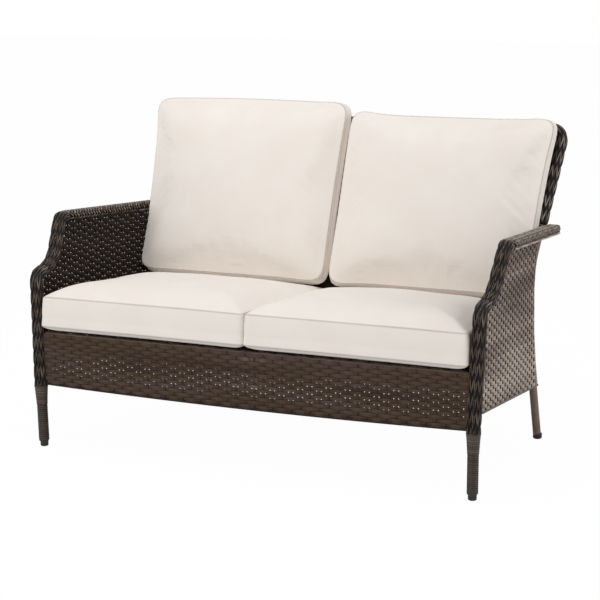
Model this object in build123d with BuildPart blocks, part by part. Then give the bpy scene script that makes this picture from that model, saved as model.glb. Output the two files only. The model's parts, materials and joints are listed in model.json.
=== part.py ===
from build123d import *
from math import atan2, cos, radians, sin, tan
import os

os.makedirs("parts", exist_ok=True)

# Axes: +X right, +Y back, +Z up, millimetres. The origin is on the ground under the middle.
# Steps back are measured from the centre line of the arm tubes at the front of the arms.
front_line_y = -353.4

# Steel tubes of the frame
tube_wall = 1.5
arm_tube_radius = 9.5
post_radius = 11.0
rail_radius = 9.0
thin_rail_radius = 7.0
cross_bar_radius = 8.0

# Height of the seat frame at its front, from which the elbow and the knee are set
seat_front_rail_height = 310.0

# Arm tube: up the front leg with a slight bend, over the elbow and the hollow rise, back along the
# arm, then inwards
front_foot_half = 615.5
front_foot_step = -14.0
tube_end_height = 6.0
collar_top_height = 170.0
collar_height = 50.0
leg_bend_out = 2.0
leg_bend_half = front_foot_half + leg_bend_out
leg_bend_step = -20.0
leg_bend_rise = 14.0
leg_bend_height = collar_top_height + leg_bend_rise
leg_bend_radius = 300.0
elbow_out = 11.5
elbow_half = front_foot_half + elbow_out
elbow_step = -13.0
elbow_rise = 164.0
elbow_height = seat_front_rail_height + elbow_rise
elbow_radius = 22.0
hollow_out = 13.5
hollow_half = front_foot_half + hollow_out
hollow_step = 72.0
hollow_rise = 23.0
hollow_height = elbow_height + hollow_rise
hollow_radius = 90.0
crest_out = 24.5
crest_half = front_foot_half + crest_out
crest_step = 134.0
crest_rise = 117.5
crest_height = hollow_height + crest_rise
crest_radius = 22.0
arm_rear_out = 7.0
arm_rear_half = front_foot_half + arm_rear_out
arm_fall = 25.0
arm_rear_height = crest_height - arm_fall
hook_radius = 24.0
hook_reach = 31.5
hook_half = arm_rear_half - hook_reach

# Rear post: rear leg and back stile in one, raked, waisted at the seat and flared at the top
rear_foot_inset = 16.0
rear_foot_half = front_foot_half - rear_foot_inset
rear_foot_step = 608.0
knee_inset = 23.5
knee_half = rear_foot_half - knee_inset
knee_lead = 35.0
knee_step = rear_foot_step - knee_lead
knee_height = seat_front_rail_height
knee_radius = 400.0
waist_out = 0.5
waist_half = knee_half + waist_out
waist_lag = 2.0
waist_step = knee_step + waist_lag
waist_rise = 169.0
waist_height = knee_height + waist_rise
waist_radius = 300.0
corner_out = 43.5
corner_half = waist_half + corner_out
corner_lag = 153.0
corner_step = waist_step + corner_lag
corner_rise = 373.0
corner_height = waist_height + corner_rise
corner_radius = 34.0
corner_run = 44.0
top_rail_half = corner_half - corner_run

# Rear end of the arm tube, past the post, and the foot of the stile's plait above the arm
arm_rear_lag = 13.0
arm_rear_step = rear_foot_step + arm_rear_lag
stile_edge_rise = 9.5
stile_edge_start_height = arm_rear_height + stile_edge_rise

# Rails between the posts and the arm tubes
seat_rear_rail_lead = 11.0
seat_rear_rail_step = knee_step - seat_rear_rail_lead
seat_slope_angle = 2.9
side_rail_front_inset = 21.5
side_rail_half_front = leg_bend_half - side_rail_front_inset
side_rail_rear_inset = 24.0
side_rail_half_rear = knee_half - side_rail_rear_inset
cross_bar_spacing = 280.0
cross_bar_gap = 0.3
back_rail_rise = 81.0
back_rail_height = waist_height + back_rail_rise
side_rail_lift = 10.0
side_rail_bite = 2.5
back_rail_gap = 0.3
side_top_gap = 0.5
side_rear_lap = 4.0
back_edge_tuck = 3.0

# Woven panels
weave_thickness = 8.0
apron_front_step = -24.0
apron_bottom_height = 179.0
apron_rail_lift = 7.0
apron_rail_height = apron_bottom_height + apron_rail_lift
apron_sag = 8.0
apron_tuck = 4.0
apron_top_gap = 3.0
side_front_out_low = 11.0
side_front_half_low = elbow_half + side_front_out_low
side_front_out_top = 8.0
side_front_half_top = crest_half + side_front_out_top
side_rear_out_low = 23.0
side_rear_half_low = knee_half + side_rear_out_low
side_rear_out = 16.0
side_rear_half = knee_half + side_rear_out
side_rear_out_top = 22.5
side_rear_half_top = waist_half + side_rear_out_top
side_low_height = 140.0
side_mid_rise = 120.0
side_mid_height = seat_front_rail_height + side_mid_rise
side_high_rise = 25.5
side_high_height = crest_height + side_high_rise
side_front_step = -8.0
side_front_top_drop = 14.0
side_front_top_height = elbow_height - side_front_top_drop
side_rear_lag = 5.0
side_rear_step = knee_step + side_rear_lag
side_front_bottom_height = 222.0
side_tail_lag = 14.0
side_tail_step = rear_foot_step + side_tail_lag
side_tail_height = 151.0
side_tail_lead = 14.0
side_tail_rise_step = rear_foot_step - side_tail_lead
side_tail_rise = 63.0
side_tail_rise_height = side_tail_height + side_tail_rise
side_tail_radius = 10.0
back_foot_lag = 7.0
back_foot_step = rear_foot_step + back_foot_lag
back_foot_height = 160.0
rear_bottom_lift = 13.0
rear_bottom_height = back_foot_height + rear_bottom_lift
back_heel_lead = 18.0
back_heel_step = rear_foot_step - back_heel_lead
back_heel_rise = 62.0
back_heel_height = back_foot_height + back_heel_rise
back_heel_radius = 120.0
deck_thickness = 5.0
deck_front_lead = 8.0
deck_rear_margin = 7.0
deck_front_out = 8.5
deck_front_half = leg_bend_half + deck_front_out
deck_rear_out = 4.0
deck_rear_half = knee_half + deck_rear_out

# Plaited edges
band_width = 36.0
band_depth = 25.0
band_corner = 9.0
arm_top_width = 45.0
arm_top_depth = 24.0
arm_top_corner = 9.0
arm_top_end_radius = 18.0
arm_top_start_lag = 32.0
arm_top_start_step = crest_step + arm_top_start_lag
arm_top_end_lag = 19.0
arm_top_end_step = arm_rear_step + arm_top_end_lag
edge_radius = 17.0

# Wound strand of the front legs
wrap_radius = 14.5
wrap_gap = 1.0
collar_bottom_radius = 15.0
collar_top_radius = 18.5

# Feet
glide_radius = 11.0
glide_height = 16.0
glide_rounding = 4.0
cap_radius = 12.5
cap_height = 16.0
cap_rounding = 5.0

# Cushions
cushion_clearance = 0.6
cushion_corner = 14.0
side_pull_in = 6.0
seat_cushion_front_inset = 25.0
seat_cushion_front_half = elbow_half - seat_cushion_front_inset
seat_cushion_rear_inset = 20.0
seat_cushion_rear_half = knee_half - seat_cushion_rear_inset
seat_cushion_gap = 2.0
seat_cushion_lead = 30.0
seat_cushion_lap = 15.0
seat_cushion_length = seat_rear_rail_step + seat_cushion_lap
seat_base_inset = 34.0
seat_bottom_seam = 13.0
seat_boxing = 83.0
seat_shoulder_rise = 15.0
seat_shoulder_inset = 18.0
seat_shoulder_rear_inset = 75.0
seat_crown_rise = 30.0
seat_crown_inset = 55.0
seat_crown_rear_inset = 130.0
seat_top_rise = 41.0
seat_top_inset = 125.0
seat_top_rear_inset = 200.0
back_cushion_lead = 101.3
back_cushion_step = waist_step - back_cushion_lead
back_cushion_foot_rise = 114.0
back_cushion_foot_height = seat_front_rail_height + back_cushion_foot_rise
back_cushion_lean = 20.9
back_cushion_foot_out = 11.5
back_cushion_foot_half = waist_half + back_cushion_foot_out
back_cushion_top_inset = 11.0
back_cushion_top_half = corner_half - back_cushion_top_inset
back_cushion_gap = 3.0
back_cushion_length = 497.0
left_back_extra = 21.0
back_top_pull_in = 3.0
left_top_swell = 11.0
back_bottom_swell = 4.0
back_boxing = 62.0
back_rear_taper = 7.0
back_rear_rise = 7.0
back_rear_inset = 60.0
back_shoulder_rise = 12.0
back_shoulder_inset = 38.0
back_crown_rise = 22.0
back_crown_inset = 105.0
back_top_rise = 27.0
back_top_inset = 180.0
back_cushion_corner = 34.0

cut_overrun = 50.0
sides = {"left": -1, "right": 1}


def place(side, half, step, height):
    """A point on one side of the loveseat, from its half width, step back and height."""
    return Vector(side * half, front_line_y + step, height)


def between(low, low_value, high, high_value, at):
    """The value at one place on a straight line between two known places."""
    return low_value + (at - low) / (high - low) * (high_value - low_value)


def bent_line(points, radii):
    """Straight runs through the corner points, with an arc of its own radius at each corner."""
    start = points[0]
    for corner, after, radius in zip(points[1:-1], points[2:], radii):
        incoming = (corner - start).normalized()
        outgoing = (after - corner).normalized()
        turn = radians(incoming.get_angle(outgoing))
        reach = radius * tan(turn / 2)
        inside = (outgoing - incoming).normalized()
        arc_start = corner - incoming * reach
        arc_middle = corner + inside * radius * (1 / cos(turn / 2) - 1)
        arc_end = corner + outgoing * reach
        Line(start, arc_start)
        ThreePointArc(arc_start, arc_middle, arc_end)
        start = arc_end
    Line(start, points[-1])


def along(low, high, height):
    """The point at one height on the straight run between two points."""
    return low + (high - low) * ((height - low.Z) / (high.Z - low.Z))


# Arm tubes, one bent steel tube on each side
arm_rods = {}
arm_bores = {}
arm_starts = {}
band_paths = {}
leg_points = {}
for word, side in sides.items():
    front_foot = place(side, front_foot_half, front_foot_step, 0)
    leg_bend = place(side, leg_bend_half, leg_bend_step, leg_bend_height)
    elbow = place(side, elbow_half, elbow_step, elbow_height)
    hollow = place(side, hollow_half, hollow_step, hollow_height)
    crest = place(side, crest_half, crest_step, crest_height)
    arm_rear = place(side, arm_rear_half, arm_rear_step, arm_rear_height)
    hook_end = place(side, hook_half, arm_rear_step, arm_rear_height)
    leg_run = (leg_bend - front_foot).normalized()
    tube_foot = along(front_foot, leg_bend, tube_end_height)
    collar_foot = along(front_foot, leg_bend, collar_top_height - collar_height)
    collar_top = along(front_foot, leg_bend, collar_top_height)
    arm_start = crest + (arm_rear - crest) * ((arm_top_start_step - crest_step) / (arm_rear_step - crest_step))
    leg_points[word] = (front_foot, leg_run, collar_foot, collar_top)
    arm_starts[word] = (arm_start, (arm_rear - crest).normalized())
    with BuildLine() as band_path:
        bent_line([collar_top, leg_bend, elbow, hollow, crest, arm_start],
                  [leg_bend_radius, elbow_radius, hollow_radius, crest_radius])
    band_paths[word] = band_path.line
    with BuildLine() as tube_path:
        bent_line([tube_foot, leg_bend, elbow, hollow, crest, arm_rear, hook_end],
                  [leg_bend_radius, elbow_radius, hollow_radius, crest_radius, hook_radius])
    with BuildPart() as arm_rod:
        with BuildSketch(Plane(origin=tube_foot, z_dir=leg_run)):
            Circle(arm_tube_radius)
        sweep(path=tube_path.line)
    arm_rods[word] = arm_rod.part
    with BuildPart() as arm_bore:
        with BuildSketch(Plane(origin=tube_foot, z_dir=leg_run)):
            Circle(arm_tube_radius - tube_wall)
        sweep(path=tube_path.line)
    arm_bores[word] = arm_bore.part

# Rear posts, rear leg and back stile in one bent steel tube on each side
post_rods = {}
stile_paths = {}
rear_feet = {}
for word, side in sides.items():
    rear_foot = place(side, rear_foot_half, rear_foot_step, 0)
    knee = place(side, knee_half, knee_step, knee_height)
    waist = place(side, waist_half, waist_step, waist_height)
    corner = place(side, corner_half, corner_step, corner_height)
    corner_end = place(side, top_rail_half, corner_step, corner_height)
    stile_start = along(waist, corner, stile_edge_start_height)
    rear_leg_run = (knee - rear_foot).normalized()
    rear_feet[word] = rear_foot
    post_foot = along(rear_foot, knee, tube_end_height)
    with BuildLine() as stile_path:
        bent_line([stile_start, corner, corner_end], [corner_radius])
    stile_paths[word] = stile_path.line
    with BuildLine() as post_path:
        bent_line([post_foot, knee, waist, corner, corner_end], [knee_radius, waist_radius, corner_radius])
    with BuildPart() as post_rod:
        with BuildSketch(Plane(origin=post_foot, z_dir=rear_leg_run)):
            Circle(post_radius)
        sweep(path=post_path.line)
    post_rods[word] = post_rod.part
    with BuildPart() as post:
        add(post_rod.part)
        with BuildSketch(Plane(origin=post_foot, z_dir=rear_leg_run)):
            Circle(post_radius - tube_wall)
        sweep(path=post_path.line, mode=Mode.SUBTRACT)
    post.part.label = word + "_rear_post"
    export_step(post.part, "parts/" + word + "_rear_post.step")

# The arm tubes end against the rear posts, where they are welded
for word in sides:
    with BuildPart() as arm_tube:
        add(arm_rods[word])
        add(arm_bores[word], mode=Mode.SUBTRACT)
        add(post_rods[word], mode=Mode.SUBTRACT)
    arm_tube.part.label = word + "_arm_tube"
    export_step(arm_tube.part, "parts/" + word + "_arm_tube.step")

# Top rail of the back, between the inward ends of the posts
with BuildPart() as top_rail:
    with BuildSketch(Plane(origin=place(-1, top_rail_half, corner_step, corner_height), z_dir=(1, 0, 0))):
        Circle(post_radius)
        Circle(post_radius - tube_wall, mode=Mode.SUBTRACT)
    extrude(amount=2 * top_rail_half)
top_rail.part.label = "top_rail"
export_step(top_rail.part, "parts/top_rail.step")

# Seat frame: front and rear rails between the arm frames, side rails and cross bars between them
seat_drop = sin(radians(seat_slope_angle))
seat_run = cos(radians(seat_slope_angle))
front_rail_step = apron_front_step + weave_thickness + rail_radius
rear_rail_height = seat_front_rail_height - (seat_rear_rail_step - front_rail_step) * seat_drop / seat_run
front_rail_y = front_line_y + front_rail_step
rear_rail_y = front_line_y + seat_rear_rail_step
front_weld_half = between(leg_bend_height, leg_bend_half, elbow_height, elbow_half, seat_front_rail_height)
rear_weld_half = between(0, rear_foot_half, knee_height, knee_half, rear_rail_height)
seat_plane = Plane(origin=(0, front_rail_y, seat_front_rail_height), x_dir=(1, 0, 0),
                   z_dir=(0, seat_drop, seat_run))
seat_frame_length = (seat_rear_rail_step - front_rail_step) / seat_run

with BuildPart() as front_rail_rod:
    with BuildSketch(Plane(origin=(-front_weld_half, front_rail_y, seat_front_rail_height), z_dir=(1, 0, 0))):
        Circle(rail_radius)
    extrude(amount=2 * front_weld_half)
with BuildPart() as rear_rail_rod:
    with BuildSketch(Plane(origin=(-rear_weld_half, rear_rail_y, rear_rail_height), z_dir=(1, 0, 0))):
        Circle(rail_radius)
    extrude(amount=2 * rear_weld_half)
with BuildPart() as seat_front_rail:
    with BuildSketch(Plane(origin=(-front_weld_half, front_rail_y, seat_front_rail_height), z_dir=(1, 0, 0))):
        Circle(rail_radius)
        Circle(rail_radius - tube_wall, mode=Mode.SUBTRACT)
    extrude(amount=2 * front_weld_half)
    for word in sides:
        add(arm_rods[word], mode=Mode.SUBTRACT)
seat_front_rail.part.label = "seat_front_rail"
export_step(seat_front_rail.part, "parts/seat_front_rail.step")
with BuildPart() as seat_rear_rail:
    with BuildSketch(Plane(origin=(-rear_weld_half, rear_rail_y, rear_rail_height), z_dir=(1, 0, 0))):
        Circle(rail_radius)
        Circle(rail_radius - tube_wall, mode=Mode.SUBTRACT)
    extrude(amount=2 * rear_weld_half)
    for word in sides:
        add(post_rods[word], mode=Mode.SUBTRACT)
seat_rear_rail.part.label = "seat_rear_rail"
export_step(seat_rear_rail.part, "parts/seat_rear_rail.step")

for word, side in sides.items():
    rail_start = Vector(side * side_rail_half_front, front_rail_y, seat_front_rail_height)
    rail_stop = Vector(side * side_rail_half_rear, rear_rail_y, rear_rail_height)
    rail_run = rail_stop - rail_start
    with BuildPart() as seat_side_rail:
        with BuildSketch(Plane(origin=rail_start, z_dir=rail_run)):
            Circle(rail_radius)
            Circle(rail_radius - tube_wall, mode=Mode.SUBTRACT)
        extrude(amount=rail_run.length)
        add(front_rail_rod.part, mode=Mode.SUBTRACT)
        add(rear_rail_rod.part, mode=Mode.SUBTRACT)
    seat_side_rail.part.label = word + "_seat_side_rail"
    export_step(seat_side_rail.part, "parts/" + word + "_seat_side_rail.step")

bar_drop = rail_radius - cross_bar_radius - cross_bar_gap
for bar_word, bar_place in (("left", -1), ("middle", 0), ("right", 1)):
    bar_start = seat_plane.from_local_coords(Vector(bar_place * cross_bar_spacing, 0, bar_drop))
    with BuildPart() as cross_bar:
        with BuildSketch(Plane(origin=bar_start, z_dir=seat_plane.y_dir)):
            Circle(cross_bar_radius)
            Circle(cross_bar_radius - tube_wall, mode=Mode.SUBTRACT)
        extrude(amount=seat_frame_length)
        add(front_rail_rod.part, mode=Mode.SUBTRACT)
        add(rear_rail_rod.part, mode=Mode.SUBTRACT)
    cross_bar.part.label = bar_word + "_cross_bar"
    export_step(cross_bar.part, "parts/" + bar_word + "_cross_bar.step")

# Back rail at arm height behind the woven back, and the rail along its foot ahead of it
half_weave = weave_thickness / 2
back_rail_step = between(waist_height, waist_step, corner_height, corner_step, back_rail_height)
back_rail_half = between(waist_height, waist_half, corner_height, corner_half, back_rail_height)
back_lean = atan2(corner_step - waist_step, corner_height - waist_height)
back_rail_step = back_rail_step + (half_weave + rail_radius + back_rail_gap) / cos(back_lean)
with BuildPart() as back_rail:
    with BuildSketch(Plane(origin=place(-1, back_rail_half, back_rail_step, back_rail_height),
                           z_dir=(1, 0, 0))):
        Circle(rail_radius)
        Circle(rail_radius - tube_wall, mode=Mode.SUBTRACT)
    extrude(amount=2 * back_rail_half)
    for word in sides:
        add(post_rods[word], mode=Mode.SUBTRACT)
back_rail.part.label = "back_rail"
export_step(back_rail.part, "parts/back_rail.step")

heel_lean = atan2(back_foot_step - back_heel_step, back_heel_height - back_foot_height)
rear_bottom_step = between(back_foot_height, back_foot_step, back_heel_height, back_heel_step,
                           rear_bottom_height)
rear_bottom_step = rear_bottom_step - (half_weave + thin_rail_radius + back_rail_gap) / cos(heel_lean)
rear_bottom_half = between(0, rear_foot_half, knee_height, knee_half, rear_bottom_height)
with BuildPart() as rear_bottom_rail:
    with BuildSketch(Plane(origin=place(-1, rear_bottom_half, rear_bottom_step, rear_bottom_height),
                           z_dir=(1, 0, 0))):
        Circle(thin_rail_radius)
        Circle(thin_rail_radius - tube_wall, mode=Mode.SUBTRACT)
    extrude(amount=2 * rear_bottom_half)
    for word in sides:
        add(post_rods[word], mode=Mode.SUBTRACT)
rear_bottom_rail.part.label = "rear_bottom_rail"
export_step(rear_bottom_rail.part, "parts/rear_bottom_rail.step")

# Rail along the foot of the apron
apron_rail_step = apron_front_step + weave_thickness + thin_rail_radius
apron_rail_half = between(leg_bend_height, leg_bend_half, elbow_height, elbow_half, apron_rail_height)
with BuildPart() as apron_rail_rod:
    with BuildSketch(Plane(origin=place(-1, apron_rail_half, apron_rail_step, apron_rail_height),
                           z_dir=(1, 0, 0))):
        Circle(thin_rail_radius)
    extrude(amount=2 * apron_rail_half)
with BuildPart() as apron_rail:
    with BuildSketch(Plane(origin=place(-1, apron_rail_half, apron_rail_step, apron_rail_height),
                           z_dir=(1, 0, 0))):
        Circle(thin_rail_radius)
        Circle(thin_rail_radius - tube_wall, mode=Mode.SUBTRACT)
    extrude(amount=2 * apron_rail_half)
    for word in sides:
        add(arm_rods[word], mode=Mode.SUBTRACT)
apron_rail.part.label = "apron_rail"
export_step(apron_rail.part, "parts/apron_rail.step")

# Side bottom rails, inside the foot of each side panel, from the front leg back to the rear leg
side_rail_rods = {}
for word, side in sides.items():
    front_height = side_front_bottom_height + side_rail_lift
    rear_height = side_tail_height + side_rail_lift
    front_half = side_front_half_low - weave_thickness - thin_rail_radius + side_rail_bite
    front_step = between(leg_bend_height, leg_bend_step, elbow_height, elbow_step, front_height)
    rear_half = between(side_low_height, side_rear_half_low, side_mid_height, side_rear_half,
                        rear_height) - weave_thickness - thin_rail_radius + side_rail_bite
    rear_step = between(0, rear_foot_step, knee_height, knee_step, rear_height)
    rail_start = place(side, front_half, front_step, front_height)
    rail_stop = place(side, rear_half, rear_step, rear_height)
    rail_run = rail_stop - rail_start
    with BuildPart() as side_rail_rod:
        with BuildSketch(Plane(origin=rail_start, z_dir=rail_run)):
            Circle(thin_rail_radius)
        extrude(amount=rail_run.length)
    side_rail_rods[word] = side_rail_rod.part
    with BuildPart() as side_bottom_rail:
        with BuildSketch(Plane(origin=rail_start, z_dir=rail_run)):
            Circle(thin_rail_radius)
            Circle(thin_rail_radius - tube_wall, mode=Mode.SUBTRACT)
        extrude(amount=rail_run.length)
        add(arm_rods[word], mode=Mode.SUBTRACT)
        add(post_rods[word], mode=Mode.SUBTRACT)
    side_bottom_rail.part.label = word + "_side_bottom_rail"
    export_step(side_bottom_rail.part, "parts/" + word + "_side_bottom_rail.step")

# Plaited bands up the front of the arms, round the arm tubes, with holes where the rails pass
bands = {}
for word, side in sides.items():
    leg_run = leg_points[word][1]
    band_start = Plane(origin=leg_points[word][3], x_dir=(1, 0, 0), z_dir=leg_run)
    with BuildPart() as front_band:
        with BuildSketch(band_start):
            RectangleRounded(band_width, band_depth, band_corner)
        sweep(path=band_paths[word])
        add(arm_rods[word], mode=Mode.SUBTRACT)
        add(front_rail_rod.part, mode=Mode.SUBTRACT)
        add(apron_rail_rod.part, mode=Mode.SUBTRACT)
        add(side_rail_rods[word], mode=Mode.SUBTRACT)
    front_band.part.label = word + "_front_band"
    bands[word] = front_band.part
    export_step(front_band.part, "parts/" + word + "_front_band.step")

# Plaited arm tops, flat on top with a round rear end that passes the stile
arm_tops = {}
for word, side in sides.items():
    arm_start, along_the_arm = arm_starts[word]
    arm_top_length = (arm_top_end_step - arm_top_start_step) / along_the_arm.Y
    across = Vector(0, 0, 1).cross(along_the_arm).normalized()
    arm_plane = Plane(origin=arm_start, x_dir=along_the_arm, z_dir=along_the_arm.cross(across))
    arm_middle = arm_plane.from_local_coords(Vector(arm_top_length / 2, 0, -arm_top_depth / 2))
    with BuildPart() as arm_top:
        with BuildSketch(Plane(origin=arm_middle, x_dir=arm_plane.x_dir, z_dir=arm_plane.z_dir)):
            Rectangle(arm_top_length, arm_top_width)
        extrude(amount=arm_top_depth)
        rear_uprights = arm_top.edges().filter_by(Axis(arm_middle, arm_plane.z_dir)).sort_by(Axis.Y)[-2:]
        fillet(rear_uprights, arm_top_end_radius)
        rims = arm_top.faces().filter_by(Axis(arm_middle, arm_plane.z_dir)).edges()
        front_line = rims.sort_by(Axis.Y)[:2]
        fillet([rim for rim in rims if rim not in front_line], arm_top_corner)
        add(arm_rods[word], mode=Mode.SUBTRACT)
        add(post_rods[word], mode=Mode.SUBTRACT)
    arm_top.part.label = word + "_arm_top"
    arm_tops[word] = arm_top.part
    export_step(arm_top.part, "parts/" + word + "_arm_top.step")

# Plaited edge of the back, round the stiles above the arms and round the top rail
edge_rods = {}
for word, side in sides.items():
    stile_start = stile_paths[word] @ 0
    with BuildPart() as edge_rod:
        with BuildSketch(Plane(origin=stile_start, z_dir=stile_paths[word] % 0)):
            Circle(edge_radius)
        sweep(path=stile_paths[word])
    edge_rods[word] = edge_rod.part
    with BuildPart() as stile_edge:
        add(edge_rod.part)
        add(post_rods[word], mode=Mode.SUBTRACT)
        add(arm_rods[word], mode=Mode.SUBTRACT)
        add(arm_tops[word], mode=Mode.SUBTRACT)
    stile_edge.part.label = word + "_stile_edge"
    export_step(stile_edge.part, "parts/" + word + "_stile_edge.step")

top_rail_plane = Plane(origin=place(-1, top_rail_half, corner_step, corner_height), z_dir=(1, 0, 0))
with BuildPart() as top_edge_rod:
    with BuildSketch(top_rail_plane):
        Circle(edge_radius)
    extrude(amount=2 * top_rail_half)
with BuildPart() as top_edge:
    with BuildSketch(top_rail_plane):
        Circle(edge_radius)
        Circle(post_radius, mode=Mode.SUBTRACT)
    extrude(amount=2 * top_rail_half)
top_edge.part.label = "top_edge"
export_step(top_edge.part, "parts/top_edge.step")

# Woven side panels, toed in to the rear and leaning out above the seat, behind the front bands
arm_slope = atan2(crest_height - arm_rear_height, arm_rear_step - crest_step)
arm_foot_front = crest_height - (arm_top_depth / 2 + side_top_gap) / cos(arm_slope)
side_top_rear_step = between(waist_height, waist_step, corner_height, corner_step, arm_rear_height)
arm_foot_rear = between(crest_step, arm_foot_front, arm_rear_step, arm_foot_front
                        - (crest_height - arm_rear_height), side_top_rear_step)
for word, side in sides.items():
    with BuildPart() as side_panel:
        for level, front, rear in (
            (side_low_height, side_front_half_low, side_rear_half_low),
            (side_mid_height, side_front_half_low, side_rear_half),
            (side_high_height, side_front_half_top, side_rear_half_top),
        ):
            toe_in = (rear - front) / (side_rear_step - side_front_step)
            far_rear = rear + toe_in * (side_tail_step + cut_overrun - side_rear_step)
            far_front = front - toe_in * cut_overrun
            front_y = front_line_y + side_front_step - cut_overrun
            rear_y = front_line_y + side_tail_step + cut_overrun
            with BuildSketch(Plane.XY.offset(level)):
                with BuildLine():
                    Polyline(
                        (side * far_front, front_y),
                        (side * far_rear, rear_y),
                        (side * (far_rear - weave_thickness), rear_y),
                        (side * (far_front - weave_thickness), front_y),
                        close=True,
                    )
                make_face()
        loft(ruled=True)
        with BuildSketch(Plane.YZ.offset(-side_front_half_top - cut_overrun)) as side_outline:
            with BuildLine():
                Polyline(
                    (front_line_y + side_front_step, side_front_bottom_height),
                    (front_line_y + side_tail_step, side_tail_height),
                    (front_line_y + side_tail_rise_step, side_tail_rise_height),
                    (front_line_y + knee_step - side_rear_lap, knee_height),
                    (front_line_y + waist_step - side_rear_lap, waist_height),
                    (front_line_y + side_top_rear_step - side_rear_lap, arm_foot_rear),
                    (front_line_y + crest_step, arm_foot_front),
                    (front_line_y + hollow_step, hollow_height),
                    (front_line_y + side_front_step, side_front_top_height),
                    close=True,
                )
            make_face()
            fillet(side_outline.vertices().sort_by(Axis.X)[-1], side_tail_radius)
        extrude(amount=2 * (side_front_half_top + cut_overrun), mode=Mode.INTERSECT)
        add(post_rods[word], mode=Mode.SUBTRACT)
        add(side_rail_rods[word], mode=Mode.SUBTRACT)
        add(bands[word], mode=Mode.SUBTRACT)
        add(arm_rods[word], mode=Mode.SUBTRACT)
    side_panel.part.label = word + "_side_panel"
    export_step(side_panel.part, "parts/" + word + "_side_panel.step")

# Woven back, one curved sheet between the posts from the top edge down to the rear bottom rail.
# The left half is drawn and mirrored.
foot_half = between(0, rear_foot_half, knee_height, knee_half, back_foot_height) - back_edge_tuck
back_top_height = corner_height - post_radius
bend_height = corner_height - corner_radius
bend_half = between(waist_height, waist_half, corner_height, corner_half, bend_height)
back_line = [
    Vector(front_line_y + back_foot_step, back_foot_height),
    Vector(front_line_y + back_heel_step, back_heel_height),
    Vector(front_line_y + knee_step, knee_height),
    Vector(front_line_y + waist_step, waist_height),
    Vector(front_line_y + corner_step, corner_height),
]
with BuildPart() as back_panel:
    with BuildSketch(Plane.YZ.offset(-corner_half)):
        with BuildLine():
            bent_line(back_line, [back_heel_radius, knee_radius, waist_radius])
            offset(amount=half_weave, side=Side.BOTH)
        make_face()
    extrude(amount=corner_half)
    with BuildSketch(Plane.XZ.offset(-front_line_y)):
        with BuildLine():
            Polyline(
                (-foot_half, back_foot_height - cut_overrun),
                (0, back_foot_height - cut_overrun),
                (0, back_top_height),
                (-top_rail_half, back_top_height),
                (-(bend_half - back_edge_tuck), bend_height),
                (-(waist_half - back_edge_tuck), waist_height),
                (-(knee_half - back_edge_tuck), knee_height),
                (-foot_half, back_foot_height),
                close=True,
            )
        make_face()
    extrude(amount=-(corner_step + cut_overrun), mode=Mode.INTERSECT)
    add(top_edge_rod.part, mode=Mode.SUBTRACT)
    add(edge_rods["left"], mode=Mode.SUBTRACT)
    add(post_rods["left"], mode=Mode.SUBTRACT)
    mirror(about=Plane.YZ)
back_panel.part.label = "back_panel"
export_step(back_panel.part, "parts/back_panel.step")

# Woven apron under the front of the seat, between the bands, its lower edge sagging a little
apron_top_height = seat_front_rail_height + rail_radius - apron_top_gap
band_inside = apron_tuck - band_width / 2
apron_low_half = band_inside + between(leg_bend_height, leg_bend_half, elbow_height, elbow_half,
                                       apron_bottom_height)
apron_top_half = band_inside + between(leg_bend_height, leg_bend_half, elbow_height, elbow_half,
                                       apron_top_height)
with BuildPart() as front_apron:
    with BuildSketch(Plane.XZ.offset(-front_line_y - apron_front_step)):
        with BuildLine():
            ThreePointArc((-apron_low_half, apron_bottom_height), (0, apron_bottom_height - apron_sag),
                          (apron_low_half, apron_bottom_height))
            Line((apron_low_half, apron_bottom_height), (apron_top_half, apron_top_height))
            Line((apron_top_half, apron_top_height), (-apron_top_half, apron_top_height))
            Line((-apron_top_half, apron_top_height), (-apron_low_half, apron_bottom_height))
        make_face()
    extrude(amount=-weave_thickness)
    for word in sides:
        add(bands[word], mode=Mode.SUBTRACT)
front_apron.part.label = "front_apron"
export_step(front_apron.part, "parts/front_apron.step")

# Woven seat deck, stretched over the seat frame and sloping down to the rear
deck_length = seat_frame_length - deck_rear_margin
with BuildPart() as seat_deck:
    with BuildSketch(seat_plane.offset(rail_radius)):
        with BuildLine():
            Polyline(
                (-deck_front_half, -deck_front_lead),
                (deck_front_half, -deck_front_lead),
                (deck_rear_half, deck_length),
                (-deck_rear_half, deck_length),
                close=True,
            )
        make_face()
    extrude(amount=deck_thickness)
    for word in sides:
        add(bands[word], mode=Mode.SUBTRACT)
        add(arm_rods[word], mode=Mode.SUBTRACT)
        add(post_rods[word], mode=Mode.SUBTRACT)
seat_deck.part.label = "seat_deck"
export_step(seat_deck.part, "parts/seat_deck.step")

# Wound strand on the front legs and the flared collars under the bands
for word in sides:
    front_foot, leg_run, collar_foot, collar_top = leg_points[word]
    wrap_start = front_foot + leg_run * (glide_height + wrap_gap)
    with BuildPart() as leg_wrap:
        with BuildSketch(Plane(origin=wrap_start, z_dir=leg_run)):
            Circle(wrap_radius)
        extrude(amount=(collar_foot - wrap_start).length)
        add(arm_rods[word], mode=Mode.SUBTRACT)
    leg_wrap.part.label = word + "_leg_wrap"
    export_step(leg_wrap.part, "parts/" + word + "_leg_wrap.step")
    with BuildPart() as leg_collar:
        with BuildSketch(Plane(origin=collar_foot, z_dir=leg_run)):
            Circle(collar_bottom_radius)
        with BuildSketch(Plane(origin=collar_top, z_dir=leg_run)):
            Circle(collar_top_radius)
        loft()
        add(arm_rods[word], mode=Mode.SUBTRACT)
    leg_collar.part.label = word + "_leg_collar"
    export_step(leg_collar.part, "parts/" + word + "_leg_collar.step")

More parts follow.
